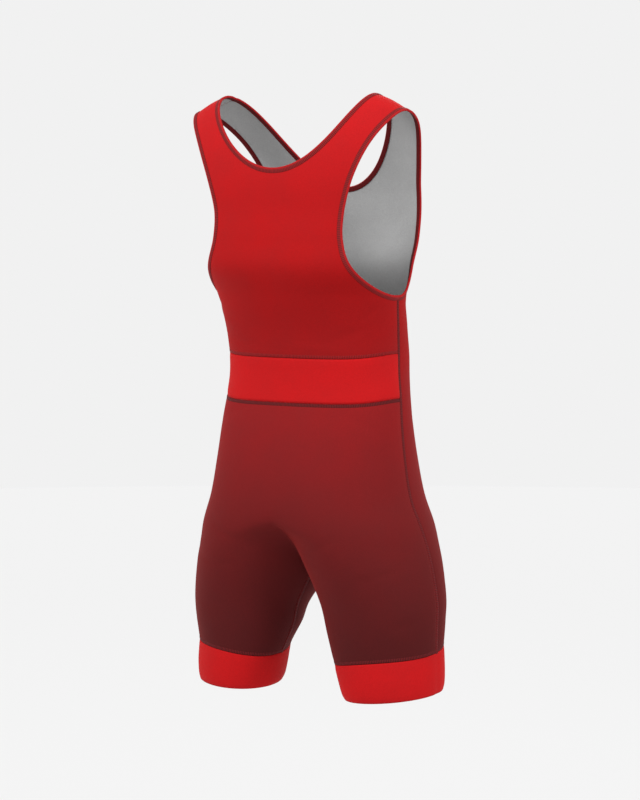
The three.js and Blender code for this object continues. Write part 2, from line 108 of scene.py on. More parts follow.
# %% A smooth curve through one column of the table
def section_value(name, height):
    heights = SECTIONS[::-1, 0]
    values = SECTIONS[::-1, SECTION.index(name)]
    slopes = np.empty(len(values))
    slopes[1:-1] = (values[2:] - values[:-2]) / (heights[2:] - heights[:-2])
    slopes[0] = (values[1] - values[0]) / (heights[1] - heights[0])
    slopes[-1] = (values[-1] - values[-2]) / (heights[-1] - heights[-2])
    h = np.clip(height, heights[0], heights[-1])
    i = np.clip(np.searchsorted(heights, h, side="right") - 1, 0, len(values) - 2)
    span = heights[i + 1] - heights[i]
    t = (h - heights[i]) / span
    ease = t * t * (3 - 2 * t)
    leaving = span * slopes[i] * t * (1 - t) ** 2
    arriving = span * slopes[i + 1] * t * t * (1 - t)
    return values[i] * (1 - ease) + values[i + 1] * ease + leaving - arriving


print("waist is", round(2 * float(section_value("radius", -403))), "mm wide")

# %% [markdown]
# A place on the knit is told by its reach, which is the way down from the shoulder top
# (plus on the back, minus on the front), and by its angle round the half section. The
# same two numbers serve for panels, seams and bindings, so they meet exactly.

# %% From reach and angle to a point
ARCH_REACH = STRAP_ARCH * math.pi / 2
SIDE = math.pi / 2
STEP = 1e-3


def smooth(t):
    return t * t * (3 - 2 * t)


def signed_power(value, power):
    return np.sign(value) * np.abs(value) ** power


def height_of(reach):
    way = np.abs(reach)
    arch = -STRAP_ARCH * (1 - np.cos(np.minimum(way, ARCH_REACH) / STRAP_ARCH))
    return arch - np.maximum(way - ARCH_REACH, 0)


def reach_of(face, height):
    above = np.clip(height, -STRAP_ARCH, 0)
    over = STRAP_ARCH * np.arccos(1 + above / STRAP_ARCH)
    return face["side"] * (over + np.maximum(-STRAP_ARCH - height, 0))


def shoulder_drop(x, height):
    past = np.maximum(0, np.abs(x) - SLOPE_FROM)
    bend = SLOPE_FULL - SLOPE_FROM
    fall = np.where(past < bend, past * past / (2 * bend), past - bend / 2)
    return SHOULDER_SLOPE * fall * np.maximum(0, 1 + height / (STRAP_ARCH * 1.1)) ** 1.5


def middle_angle(height):
    share = np.clip(section_value("centre", height) / section_value("radius", height), 0, 1)
    above = -np.arcsin(share ** (section_value("square", height) / 2))
    return np.where(height <= CROTCH, -SIDE, above)


def form(reach, angle):
    height = height_of(reach)
    value = {name: section_value(name, height) for name in SECTION[1:]}
    across = signed_power(np.sin(angle), 2 / value["square"]) * value["radius"]
    x = value["centre"] + across
    round_part = signed_power(np.cos(angle), 2 / np.where(reach >= 0, value["square"], value["flat"]))
    hollow = np.clip(value["hollow"], 0, 1)
    t = np.clip(angle / np.minimum(middle_angle(height), -STEP), 0, 1)
    turned = (1 - hollow) * (1 - 0.5 * hollow * smooth(t)) + hollow * round_part
    fullness = np.where(angle < 0, turned, round_part)
    arch = np.sin(np.minimum(np.abs(reach), ARCH_REACH) / STRAP_ARCH)
    depth = np.where(reach >= 0, value["back"], -value["front"]) * arch * fullness
    y = value["middle"] + depth - value["skew"] * across
    inward = ((1 - np.sin(angle)) / 2) ** 2
    lean = value["tilt"] * across + (value["shear"] * inward - value["rise"]) * (y - value["middle"])
    waist = (height - (WAIST_BAND_TOP + WAIST_BAND_BOTTOM) / 2) / SIDE_RISE_SPREAD
    cuff = (height - LEG_BAND_TOP) / CUFF_LIFT_SPREAD
    side_climb = SIDE_RISE * np.sin(angle) ** 6 * np.exp(-waist**2)
    cuff_climb = CUFF_LIFT * np.cos(angle) ** 2 * np.exp(-cuff**2)
    climb = side_climb + cuff_climb
    return np.stack([x, y, height - shoulder_drop(x, height) + climb + lean], axis=-1)


def outward(reach, angle):
    along = form(reach + STEP, angle) - form(reach - STEP, angle)
    around = form(reach, angle + STEP) - form(reach, angle - STEP)
    normal = np.cross(around, along)
    return normal / np.linalg.norm(normal, axis=-1, keepdims=True)


print("hem girth", round(float(np.pi * 2 * section_value("radius", HEM))), "mm")


# %% [markdown]
# ## The cut edges
# The neckline and the armholes are cut lines on the form. Each is a rule that gives an
# angle for a height, so one line can be followed by the panels and by their bindings.

# %% Neckline and armhole
def angle_across(height, x):
    share = (x - section_value("centre", height)) / section_value("radius", height)
    return np.arcsin(np.clip(signed_power(share, section_value("square", height) / 2), -1, 1))


def inner_angle(face, height):
    share = np.clip(height / face["neck_depth"], 0, 1) ** face["neck_power"]
    neck = angle_across(height, NECK_HALF_WIDTH * np.sqrt(np.maximum(0, 1 - share)))
    return np.where(height <= face["neck_depth"], middle_angle(height), neck)


def outer_angle(face, height):
    down = np.clip((height - face["narrow_height"]) / (ARMHOLE_BOTTOM - face["narrow_height"]), 0, 1)
    narrow = math.radians(face["narrow_angle"])
    lower = SIDE - (SIDE - narrow) * np.sqrt(1 - down * down)
    up = np.clip(1 - height / face["narrow_height"], 0, 1) ** 1.5
    upper = narrow + (math.radians(TOP_ANGLE) - narrow) * up
    below = np.where(height <= face["narrow_height"], lower, upper)
    return np.where(height <= ARMHOLE_BOTTOM, SIDE, below)


def edge_angle(rule, reach, on_front):
    """The angle of a cut edge at a reach, by the rule of the face it is on."""
    height = height_of(reach)
    return np.where(on_front, rule(FRONT, height), rule(BACK, height))


SEAM_REACH = float(reach_of(FRONT, SHOULDER_SEAM))
print("shoulder seam lies", round(-SEAM_REACH), "mm forward of the top")

# %% [markdown]
# ## Soft creases
# Stretch knit pulled smooth still carries a few shallow drag lines where it turns: at the
# armhole bottoms, over the waist, in the seat and at the crotch. Each one here is a long
# soft trough or ridge with its own place, length, width and depth. They are uneven on
# purpose, and the front has its own set.

# %% The table of creases: face, height, angle, length, width, depth, turn, on which side
CREASES = (
    ("back", -300, 64, 60, 9, -1.3, 25, 1),
    ("back", -318, 52, 74, 11, 0.9, 20, 1),
    ("back", -306, 62, 52, 8, -1.1, 28, -1),
    ("back", -336, 46, 66, 12, -0.8, 14, -1),
    ("back", -352, 30, 90, 10, -0.9, 6, 1),
    ("back", -357, 18, 70, 8, 0.6, -4, -1),
    ("back", -455, 40, 80, 14, -0.9, -16, 1),
    ("back", -462, 52, 64, 12, -0.8, -20, -1),
    ("back", -628, 4, 46, 13, -1.6, 48, 1),
    ("back", -640, -2, 40, 12, -1.3, 55, -1),
    ("back", -668, 18, 70, 15, -1.2, 24, 1),
    ("back", -676, 26, 62, 14, -1.0, 30, -1),
    ("back", -742, 50, 52, 12, -0.8, 8, -1),
    ("back", -752, 20, 58, 11, -0.9, -8, 1),
    ("back", -120, 46, 50, 9, 0.7, 78, 1),
    ("back", -132, 42, 44, 8, -0.6, 80, -1),
    ("front", -302, 62, 58, 9, -1.2, 24, 1),
    ("front", -310, 58, 50, 10, -1.1, 26, -1),
    ("front", -330, 36, 82, 12, 0.9, 10, 1),
    ("front", -372, 22, 96, 12, -1.2, 4, -1),
    ("front", -398, 30, 84, 11, -1.1, -6, 1),
    ("front", -446, 44, 78, 13, -1.0, -14, -1),
    ("front", -636, 6, 46, 13, -1.5, -46, 1),
    ("front", -644, 2, 42, 12, -1.4, -52, -1),
    ("front", -674, 22, 68, 15, -1.1, -26, 1),
    ("front", -682, 30, 60, 13, -1.0, -24, -1),
    ("front", -748, 40, 54, 12, -0.8, 8, 1),
    ("front", -190, 30, 70, 14, -0.8, 60, -1),
)


def crease_depth(reach, angle, hand):
    height = height_of(reach)
    total = np.zeros(np.shape(height))
    for face, at, where, length, width, depth, turn, side in CREASES:
        on_face = np.where((reach >= 0) == (face == "back"), 1.0, 0.0)
        across = section_value("radius", height) * (angle - middle_angle(height)) * hand * side
        around = across - section_value("radius", at) * (math.radians(where) - middle_angle(at))
        up = height - at
        turned = math.radians(turn)
        along = around * math.cos(turned) + up * math.sin(turned)
        over = up * math.cos(turned) - around * math.sin(turned)
        total += on_face * depth * np.exp(-((along / (0.5 * length)) ** 2) - (over / (0.5 * width)) ** 2)
    return total


print(len(CREASES), "soft creases")

# %% [markdown]
# ## Seams pull the knit in
# Along each flat seam the knit dips a little, and it is fuller between seams. The dip
# fades out over a few millimetres, so light catches both sides of the seam.

# %% How much the knit sinks near the seams
SEAM_DIP = 0.9
DIP_WIDTH = 5.0
NO_SEAM = 99


def seam_dip(reach, angle):
    height = height_of(reach)
    away = [
        np.abs(angle - SIDE) * section_value("radius", height) + np.maximum(0, height - ARMHOLE_BOTTOM),
        np.where(reach > 0, np.abs(height - WAIST_BAND_TOP), NO_SEAM),
        np.where(reach > 0, np.abs(height - WAIST_BAND_BOTTOM), NO_SEAM),
        np.abs(height - LEG_BAND_TOP),
        np.abs(reach - SEAM_REACH),
    ]
    nearest = np.min(np.stack(np.broadcast_arrays(*away)), axis=0)
    return -SEAM_DIP * np.exp(-((nearest / DIP_WIDTH) ** 2))


def knit_point(reach, angle, hand=1, lift=0.0):
    """Points of the knit's outer face in metres, on the wearer's left half."""
    ends = np.clip((SIDE - np.abs(angle)) * 12, 0, 1)
    relief = crease_depth(reach, angle, hand) * smooth(ends) + seam_dip(reach, angle)
    return (form(reach, angle) + outward(reach, angle) * np.expand_dims(relief + lift, -1)) * MM


print("seam dip", SEAM_DIP, "mm")

# %% [markdown]
# ## Building a panel
# A panel is a flat cut piece. On the computer it starts as a flat grid from
# `create_grid`, whose corners are then carried to their places on the form, row by row.
# Only the wearer's left half is laid out at first, then the right half in the same way
# with its own creases, and the two are joined along the middle.

# %% Helpers for meshes
def clean(bm):
    bmesh.ops.remove_doubles(bm, verts=bm.verts, dist=2e-5)
    bmesh.ops.dissolve_degenerate(bm, dist=1e-6, edges=bm.edges)


def add_object(name, bm):
    mesh = bpy.data.meshes.new(name)
    bm.to_mesh(mesh)
    bm.free()
    mesh.shade_smooth()
    made = bpy.data.objects.new(name, mesh)
    bpy.context.scene.collection.objects.link(made)
    return made


def lay_grid(bm, columns, rows, place, flip, uv=None):
    """Adds a grid and carries each corner (across 0 to 1, along 0 to 1) to place()."""
    made = bmesh.ops.create_grid(bm, x_segments=columns, y_segments=rows, size=0.5)["verts"]
    flat = np.array([v.co[:2] for v in made]) + 0.5
    where = place(flat[:, 0], flat[:, 1])
    for vert, point in zip(made, where):
        vert.co = point
    faces = list({face for vert in made for face in vert.link_faces})
    if uv is not None:
        layer = bm.loops.layers.uv.verify()
        by_vert = {vert: uv(*flat[i]) for i, vert in enumerate(made)}
        for face in faces:
            for loop in face.loops:
                loop[layer].uv = by_vert[loop.vert]
    if flip:
        bmesh.ops.reverse_faces(bm, faces=faces)


print("grid helper ready")


# %% [markdown]
# The rows of a strap panel fan out: they are evenly spaced where there is cloth to
# cover, and close up near the bottom of the neckline and of the armhole, where the cut
# edge runs level. Sine eases and straight runs space them between a few named stops.

# %% Rows of a panel
def strap_rows(face):
    """Reach at the inner and at the outer end of a row, for rows from 0 to 1."""
    start = SEAM_REACH
    neck = reach_of(face, face["neck_depth"])
    bottom = reach_of(face, ARMHOLE_BOTTOM)
    outer_knee = reach_of(face, face["narrow_height"])

    def inner(t):
        upper = start + (neck - start) * np.sin(np.clip(t / 0.45, 0, 1) * SIDE)
        return np.where(t < 0.45, upper, neck + (bottom - neck) * (t - 0.45) / 0.55)

    def outer(t):
        upper = start + (outer_knee - start) * t / 0.5
        lower = outer_knee + (bottom - outer_knee) * np.sin(np.clip((t - 0.5) / 0.5, 0, 1) * SIDE)
        return np.where(t < 0.5, upper, lower)

    return inner, outer


def strap_place(face, hand):
    inner, outer = strap_rows(face)

    def place(across, along):
        from_reach, to_reach = inner(along), outer(along)
        from_angle = edge_angle(inner_angle, from_reach, from_reach < 0)
        to_angle = edge_angle(outer_angle, to_reach, from_reach < 0)
        reach = from_reach + (to_reach - from_reach) * across
        angle = from_angle + (to_angle - from_angle) * across
        point = knit_point(reach, angle, hand)
        point[:, 0] = np.where(np.abs(point[:, 0]) < 1e-5, 0, point[:, 0]) * hand
        return point

    return place


def body_place(face, top, bottom, hand, lift=0.0):
    def place(across, along):
        height = top + (bottom - top) * along
        start = middle_angle(height)
        point = knit_point(reach_of(face, height), start + (SIDE - start) * across, hand, lift)
        point[:, 0] = np.where((across == 0) & (height > CROTCH), 0, point[:, 0]) * hand
        return point

    return place


print("row rules ready")


# %% Lay out both halves of a panel
PANEL_COLUMNS = 44
STRAP_ROWS = 74


def panel(name, face, stretches, with_straps=False):
    """stretches are (top, bottom, rows, lift) heights in millimetres."""
    bm = bmesh.new()
    for hand in (1, -1):
        flip = (face is BACK) == (hand == -1)
        if with_straps:
            lay_grid(bm, PANEL_COLUMNS, STRAP_ROWS, strap_place(face, hand), flip)
        for top, bottom, rows, lift in stretches:
            lay_grid(bm, PANEL_COLUMNS, rows, body_place(face, top, bottom, hand, lift), flip)
    clean(bm)
    made = add_object(name, bm)
    print(name, len(made.data.polygons), "faces")
    return made


thighs = (CROTCH, LEG_BAND_TOP, 24, 0)
front_body = (ARMHOLE_BOTTOM, CROTCH, 84, 0)
seat = (WAIST_BAND_BOTTOM, CROTCH, 58, 0)
panels = {
    "front_panel": panel("singlet_front", FRONT, (front_body, thighs), True),
    "upper_back_panel": panel("singlet_upper_back", BACK, ((ARMHOLE_BOTTOM, WAIST_BAND_TOP, 22, 0),), True),
    "waist_band": panel("singlet_waist_band", BACK, ((WAIST_BAND_TOP, WAIST_BAND_BOTTOM, 18, 0.3),)),
    "lower_back_panel": panel("singlet_seat", BACK, (seat, thighs)),
}

# %% [markdown]
# ## The leg bands
# Each leg ends in a tube of doubled knit, folded at the hem. The fold is round, so the
# band's last rows turn in, and its wall is twice as thick as the body's.

# %% Two tubes
BAND_COLUMNS = 56
BAND_ROWS = 22
BAND_LIFT = 0.5


def leg_band(name, hand):
    bm = bmesh.new()
    for face in (BACK, FRONT):
        def place(across, along, face=face):
            height = LEG_BAND_TOP + (HEM - LEG_BAND_TOP) * along
            point = knit_point(reach_of(face, height), -SIDE + 2 * SIDE * across, hand, BAND_LIFT)
            point[:, 0] *= hand
            return point
        lay_grid(bm, BAND_COLUMNS, BAND_ROWS, place, (face is BACK) == (hand == -1))
    clean(bm)
    return add_object(name, bm)


panels["leg_band_left"] = leg_band("singlet_leg_band_left", 1)
panels["leg_band_right"] = leg_band("singlet_leg_band_right", -1)
print("leg bands", [len(panels[n].data.polygons) for n in ("leg_band_left", "leg_band_right")])

# %% [markdown]
# ## The bindings
# The neckline and the armholes are finished with a narrow strip of knit folded over the
# cut edge and held by a coverstitch: a rolled rim, then a flat stitched part about five
# millimetres wide. A strip is swept along the edge with a rounded U as its section.

# %% The section of a binding
# Share of the way round, way in from the edge and height over the knit, in millimetres:
# along the outer side, round the rim, along the inner side and back under it.
BINDING_STOPS = np.array([
    (0, 6.3, 0.12),
    (0.16, 3.1, 1.0),
    (0.28, 1.0, 1.1),
    (0.33, -0.7, 1.25),
    (0.38, -1.5, 0.3),
    (0.43, -1.5, -1.2),
    (0.48, -0.7, -2.1),
    (0.6, 1.4, -2.3),
    (0.72, 6.0, -2.2),
    (0.76, 6.3, -1.6),
    (0.86, 0.5, -1.5),
    (0.9, -0.2, -0.6),
    (0.94, 0.5, 0.05),
    (1.0, 6.3, 0.12),
])


def binding_section(share):
    s = np.asarray(share) % 1.0
    keys, inwards, height = BINDING_STOPS.T
    return np.interp(s, keys, inwards), np.interp(s, keys, height)


print("binding", BINDING_STOPS[0, 1], "mm wide")


# %% Sweep a section along an edge
SWEEP_SPACING = 3.0


def sweep(name, points, normals, inward, section, around, hands):
    """points, normals and inward are arrays along the edge, in millimetres."""
    count = len(points) - 1
    steps = np.linalg.norm(np.diff(points, axis=0), axis=1)
    lengths = np.concatenate([[0], np.cumsum(steps)])
    bm = bmesh.new()
    for side in hands:
        def place(across, along, side=side):
            at = np.clip(np.rint(along * count).astype(int), 0, count)
            inwards, height = section(across)
            where = points[at] + inward[at] * inwards[:, None] + normals[at] * height[:, None]
            where[:, 0] *= side
            return where * MM
        lay_grid(bm, around, count, place, side == -1,
                 uv=lambda a, b: (a, lengths[min(int(round(b * count)), count)] * MM))
    clean(bm)
    bmesh.ops.recalc_face_normals(bm, faces=bm.faces)
    made = add_object(name, bm)
    print(name, len(made.data.polygons), "faces,", round(float(lengths[-1])), "mm long")
    return made


def along_edge(reach, angle, closed):
    """A run of places as frames: its points, outward directions and sideways directions."""
    points = knit_point(reach, angle, 0) / MM
    normals = outward(reach, angle)
    if closed:
        padded = np.concatenate([points[-2:-1], points, points[1:2]])
        tangent = padded[2:] - padded[:-2]
    else:
        tangent = np.gradient(points, axis=0)
    tangent /= np.linalg.norm(tangent, axis=1, keepdims=True)
    side = np.cross(tangent, normals)
    side /= np.linalg.norm(side, axis=1, keepdims=True)
    return points, normals, side


def even(reach, angle):
    """The same run, with places an even way apart."""
    points = form(reach, angle)
    lengths = np.concatenate([[0], np.cumsum(np.linalg.norm(np.diff(points, axis=0), axis=1))])
    count = int(lengths[-1] / SWEEP_SPACING)
    at = np.linspace(0, lengths[-1], count + 1)
    return np.interp(at, lengths, reach), np.interp(at, lengths, angle)


print("sweep helper ready")

# %% Which way the cloth lies
AROUND_BINDING = 40
edge_share = np.linspace(0, 1, 900)


def into_cloth(side):
    """The sideways directions, all turned so that the first of them points down."""
    return side * np.sign(np.sum(side[:1] * np.array([[0, 0, -1.0]])))


print("edges are sampled at", len(edge_share), "places on each face")

# %% The neckline's binding
neck_reach = np.concatenate([
    reach_of(BACK, BACK["neck_depth"] * np.sin(edge_share[::-1] * SIDE) ** 2),
    reach_of(FRONT, FRONT["neck_depth"] * np.sin(edge_share[1:] * SIDE) ** 2),
])
neck_angle = edge_angle(inner_angle, neck_reach, neck_reach < 0)
points, normals, side = along_edge(*even(neck_reach, neck_angle), False)
for directions in (normals, side):
    for end in (0, -1):
        directions[end, 0] = 0
        directions[end] /= np.linalg.norm(directions[end])
points[[0, -1], 0] = 0
bindings = {
    "neck_binding": sweep(
        "singlet_neck_binding", points, normals, into_cloth(side), binding_section, AROUND_BINDING, (1, -1)),
}

# %% The two armholes' bindings
arm_reach = np.concatenate([
    reach_of(BACK, ARMHOLE_BOTTOM * (1 - np.sin(edge_share * SIDE))),
    reach_of(FRONT, ARMHOLE_BOTTOM * np.sin(edge_share[1:] * SIDE)),
])
arm_angle = edge_angle(outer_angle, arm_reach, arm_reach < 0)
points, normals, side = along_edge(*even(arm_reach, arm_angle), True)
for hand, word in ((1, "left"), (-1, "right")):
    node = f"armhole_binding_{word}"
    bindings[node] = sweep(
        f"singlet_{node}", points, normals, into_cloth(side), binding_section, AROUND_BINDING, (hand,))

# %% [markdown]
# ## The flat seams
# The panels are joined by flatlock seams, which lie flat on the skin: a low ridge of
# thread six millimetres wide. The side seams run from the armhole to the leg band, and
# one inseam runs up a leg, round the crotch and down the other.

# %% A low ridge along a seam
FLATLOCK_HALF_WIDTH = 3.0
FLATLOCK_HEIGHT = 0.75
COVERSTITCH_HALF_WIDTH = 2.4
COVERSTITCH_HEIGHT = 0.55
SHOULDER_HALF_WIDTH = 1.6
SHOULDER_HEIGHT = 0.6
UNDER_RIDGE = -0.5
AROUND_RIDGE = 12


def ridge_section(half_width, top):
    def section(share):
        turn = 2 * np.pi * np.asarray(share)
        swell = np.abs(np.sin(turn))
        height = np.where(np.asarray(share) < 0.5, top * swell**0.6, UNDER_RIDGE * swell)
        return half_width * np.cos(turn), height
    return section


def seam_strip(name, reach, angle, half_width, top, hands=(1, -1)):
    points, normals, side = along_edge(*even(reach, angle), False)
    section = ridge_section(half_width, top)
    merged = bmesh.new()
    for hand in hands:
        one = sweep(f"{name}_part", points, normals, side, section, AROUND_RIDGE, (hand,))
        merged.from_mesh(one.data)
        bpy.data.objects.remove(one)
    clean(merged)
    return add_object(name, merged)


# %% The side seams, the inseam and the shoulder seams
INTO_BINDING = 5
BAND_CLEAR = 1
down = np.linspace(0, 1, 400)
side_top = ARMHOLE_BOTTOM - INTO_BINDING
seam_bottom = LEG_BAND_TOP - BAND_CLEAR
side_heights = side_top + (seam_bottom - side_top) * down
inner_heights = CROTCH + (seam_bottom - CROTCH) * down
strips = {}
for hand, word in ((1, "left"), (-1, "right")):
    strips[f"side_seam_{word}"] = seam_strip(
        f"singlet_side_seam_{word}", reach_of(BACK, side_heights), np.full(len(down), SIDE),
        FLATLOCK_HALF_WIDTH, FLATLOCK_HEIGHT, (hand,))
strips["inseam"] = seam_strip(
    "singlet_inseam", reach_of(BACK, inner_heights), np.full(len(down), -SIDE),
    FLATLOCK_HALF_WIDTH, FLATLOCK_HEIGHT)
shoulder_share = np.linspace(0, 1, 60)
shoulder_span = (float(inner_angle(FRONT, SHOULDER_SEAM)), float(outer_angle(FRONT, SHOULDER_SEAM)))
shoulder_angle = shoulder_span[0] + (shoulder_span[1] - shoulder_span[0]) * (0.1 + 0.8 * shoulder_share)
strips["shoulder_seams"] = seam_strip(
    "singlet_shoulder_seams", np.full(len(shoulder_share), SEAM_REACH), shoulder_angle,
    SHOULDER_HALF_WIDTH, SHOULDER_HEIGHT)

# %% [markdown]
# ## The coverstitch rows
# A coverstitch holds the waist band and the leg bands to the body: two close rows of
# thread with small bars between them. They lie just off the bands, on the body's knit.

# %% Rows above and below the waist band and above the leg bands
COVERSTITCH_OFF = 3.0
SHORT_OF_SIDE_SEAM = 0.985


def coverstitch_row(name, face, height, angles):
    reach = np.full(len(angles), float(reach_of(face, height)))
    return seam_strip(f"singlet_{name}", reach, angles, COVERSTITCH_HALF_WIDTH, COVERSTITCH_HEIGHT)


back_angles = np.linspace(0, SIDE, 200) * SHORT_OF_SIDE_SEAM
for word, edge, way in (("upper", WAIST_BAND_TOP, 1), ("lower", WAIST_BAND_BOTTOM, -1)):
    row = f"waist_{word}_stitching"
    strips[row] = coverstitch_row(row, BACK, edge + way * COVERSTITCH_OFF, back_angles)
for face, word in ((BACK, "back"), (FRONT, "front")):
    row = f"leg_stitching_{word}"
    strips[row] = coverstitch_row(row, face, LEG_BAND_TOP + COVERSTITCH_OFF, np.linspace(-SIDE, SIDE, 300))

# %% [markdown]
# ## Thickness
# A real knit has a wall. Solidify gives each sheet one, inwards from the face that shows,
# and its second material is the pale back of the knit.

# %% Give the sheets a wall
WALL = 1.3


def add_wall(piece, thickness, materials):
    for material in materials:
        piece.data.materials.append(material)
    wall = piece.modifiers.new("wall", "SOLIDIFY")
    wall.thickness = thickness
    wall.offset = -1
    wall.material_offset = len(materials) - 1
    wall.material_offset_rim = 0


print("wall", WALL, "mm")

# %% [markdown]
# ## Materials
# The knit is a fine matt jersey of polyester and elastane: a soft sheen at grazing
# angles, a barely visible grain, and a colour that goes from bright red at the shoulders
# to a dark maroon above the leg bands, partly a dyed fade and partly painted shade that
# darkens the lower body and legs. The inside is the undyed grey back of the cloth.

# %% Colours and a helper that adds a node
def to_linear(code):
    parts = [int(code[i:i + 2], 16) / 255 for i in (1, 3, 5)]
    return [c / 12.92 if c <= 0.04045 else ((c + 0.055) / 1.055) ** 2.4 for c in parts] + [1]


def add_node(tree, kind, settings=None, **links):
    made = tree.nodes.new(kind)
    for key, value in (settings or {}).items():
        if hasattr(made, key):
            setattr(made, key, value)
        else:
            made.inputs[key].default_value = value
    for key, source in links.items():
        socket = made.inputs[int(key[1:])] if key[1:].isdigit() else made.inputs[key.replace("_", " ")]
        tree.links.new(source, socket)
    return made


def map_range(tree, source, values, settings=None):
    """values are from low, from high, to low and to high."""
    made = add_node(tree, "ShaderNodeMapRange", settings, i0=source)
    for socket, value in zip(made.inputs[1:5], values):
        socket.default_value = value
    return made.outputs[0]


def new_material(name):
    material = bpy.data.materials.new(name)
    material.use_nodes = True
    tree = material.node_tree
    tree.nodes.clear()
    shader = add_node(tree, "ShaderNodeBsdfPrincipled")
    out = add_node(tree, "ShaderNodeOutputMaterial", i0=shader.outputs[0])
    return material, tree, shader


print("red", [round(v, 3) for v in to_linear("#c4262a")])


# %% [markdown]
# The knit's grain is in millimetres: wales and courses about three quarters of a
# millimetre apart, broken up by noise, with a broader mottling as dye leaves.

# %% The knit
# The ramp darkens the knit towards the bottom: partly dye, partly painted shade.
FADE = (
    (0.00, "#ac1316"),
    (-0.10, "#aa1114"),
    (-0.20, "#9c0a0c"),
    (-0.29, "#8e090b"),
    (-0.37, "#880d0f"),
    (-0.43, "#7d1315"),
    (-0.50, "#741315"),
    (-0.58, "#651415"),
    (-0.66, "#571314"),
    (-0.74, "#4c1213"),
    (-0.80, "#451112"),
)
FADE_LENGTH = 0.86


def fade_ramp(tree, position, stops):
    height = add_node(tree, "ShaderNodeSeparateXYZ", i0=position)
    share = map_range(tree, height.outputs[2], (0.0, -FADE_LENGTH, 0.0, 1.0), {"clamp": True})
    ramp = add_node(tree, "ShaderNodeValToRGB", i0=share)
    ramp.color_ramp.interpolation = "B_SPLINE"
    marks = ramp.color_ramp.elements
    while len(marks) < len(stops):
        marks.new(0.5)
    for mark, (z, code) in zip(marks, stops):
        mark.position = -z / FADE_LENGTH
        mark.color = to_linear(code)
    return ramp


def knit_material(name, colour, roughness=0.78, sheen=0.16, tint="#ff4a42", grain=1.0):
    """colour is one code or a list of (height, code) for the fade, which is partly dye and partly painted
    shade.
    """
    material, tree, shader = new_material(name)
    position = add_node(tree, "ShaderNodeTexCoord").outputs["Object"]
    if isinstance(colour, str):
        base = add_node(tree, "ShaderNodeRGB")
        base.outputs[0].default_value = to_linear(colour)
        base = base.outputs[0]
    else:
        base = fade_ramp(tree, position, colour).outputs[0]
    mottle = add_node(
        tree, "ShaderNodeTexNoise", {"Scale": 22.0, "Detail": 3.0, "Roughness": 0.5}, Vector=position)
    fine = add_node(
        tree, "ShaderNodeTexNoise", {"Scale": 620.0, "Detail": 2.0, "Roughness": 0.6}, Vector=position)
    shade = map_range(tree, mottle.outputs[0], (0.3, 0.7, 0.95, 1.04))
    speck = map_range(tree, fine.outputs[0], (0.25, 0.75, 1 - 0.09 * grain, 1 + 0.07 * grain))
    both = add_node(tree, "ShaderNodeMath", {"operation": "MULTIPLY"}, i0=shade, i1=speck)
    tinted = add_node(tree, "ShaderNodeVectorMath", {"operation": "SCALE"}, i0=base)
    tree.links.new(both.outputs[0], tinted.inputs["Scale"])
    tree.links.new(tinted.outputs[0], shader.inputs["Base Color"])
    wale_settings = {
        "wave_type": "BANDS", "bands_direction": "Z", "Scale": 420.0,
        "Distortion": 1.2, "Detail": 1.0, "Detail Scale": 3.0,
    }
    wales = add_node(tree, "ShaderNodeTexWave", wale_settings, Vector=position)
    relief = add_node(
        tree, "ShaderNodeMath", {"operation": "ADD"}, i0=wales.outputs["Fac"], i1=fine.outputs[0])
    bump = add_node(
        tree, "ShaderNodeBump", {"Strength": 0.16 * grain, "Distance": 0.0004}, Height=relief.outputs[0])
    tree.links.new(bump.outputs[0], shader.inputs["Normal"])
    rough = map_range(tree, mottle.outputs[0], (0.3, 0.7, roughness - 0.04, roughness + 0.05))
    tree.links.new(rough, shader.inputs["Roughness"])
    shader.inputs["Specular IOR Level"].default_value = 0.1
    shader.inputs["Sheen Weight"].default_value = sheen
    shader.inputs["Sheen Roughness"].default_value = 0.45
    shader.inputs["Sheen Tint"].default_value = to_linear(tint)
    return material


# Matt jersey, red fading to maroon: partly dye, partly painted shade darker towards the bottom.
body_knit = knit_material("jersey_red_to_maroon_dye_and_painted_shade", FADE)
# The same jersey in one even red, for the bands.
band_knit = knit_material("even_red_jersey", "#ac0f12")
# The undyed back of the jersey, a plain mid grey.
grey_back = knit_material("grey_jersey_back", "#a3a3a3", roughness=0.85, sheen=0.1, tint="#ffffff", grain=1.4)
print("knits", [m.name for m in (body_knit, band_knit, grey_back)])

# %% [markdown]
# Thread is twisted and catches light in short bars. Where a stitch pattern must follow a
# seam, it reads the strip's own UV map, whose second number is the way along the seam in
# metres, so every bar has its true size.

# %% Stitching
STITCH_SPACING = 0.0024


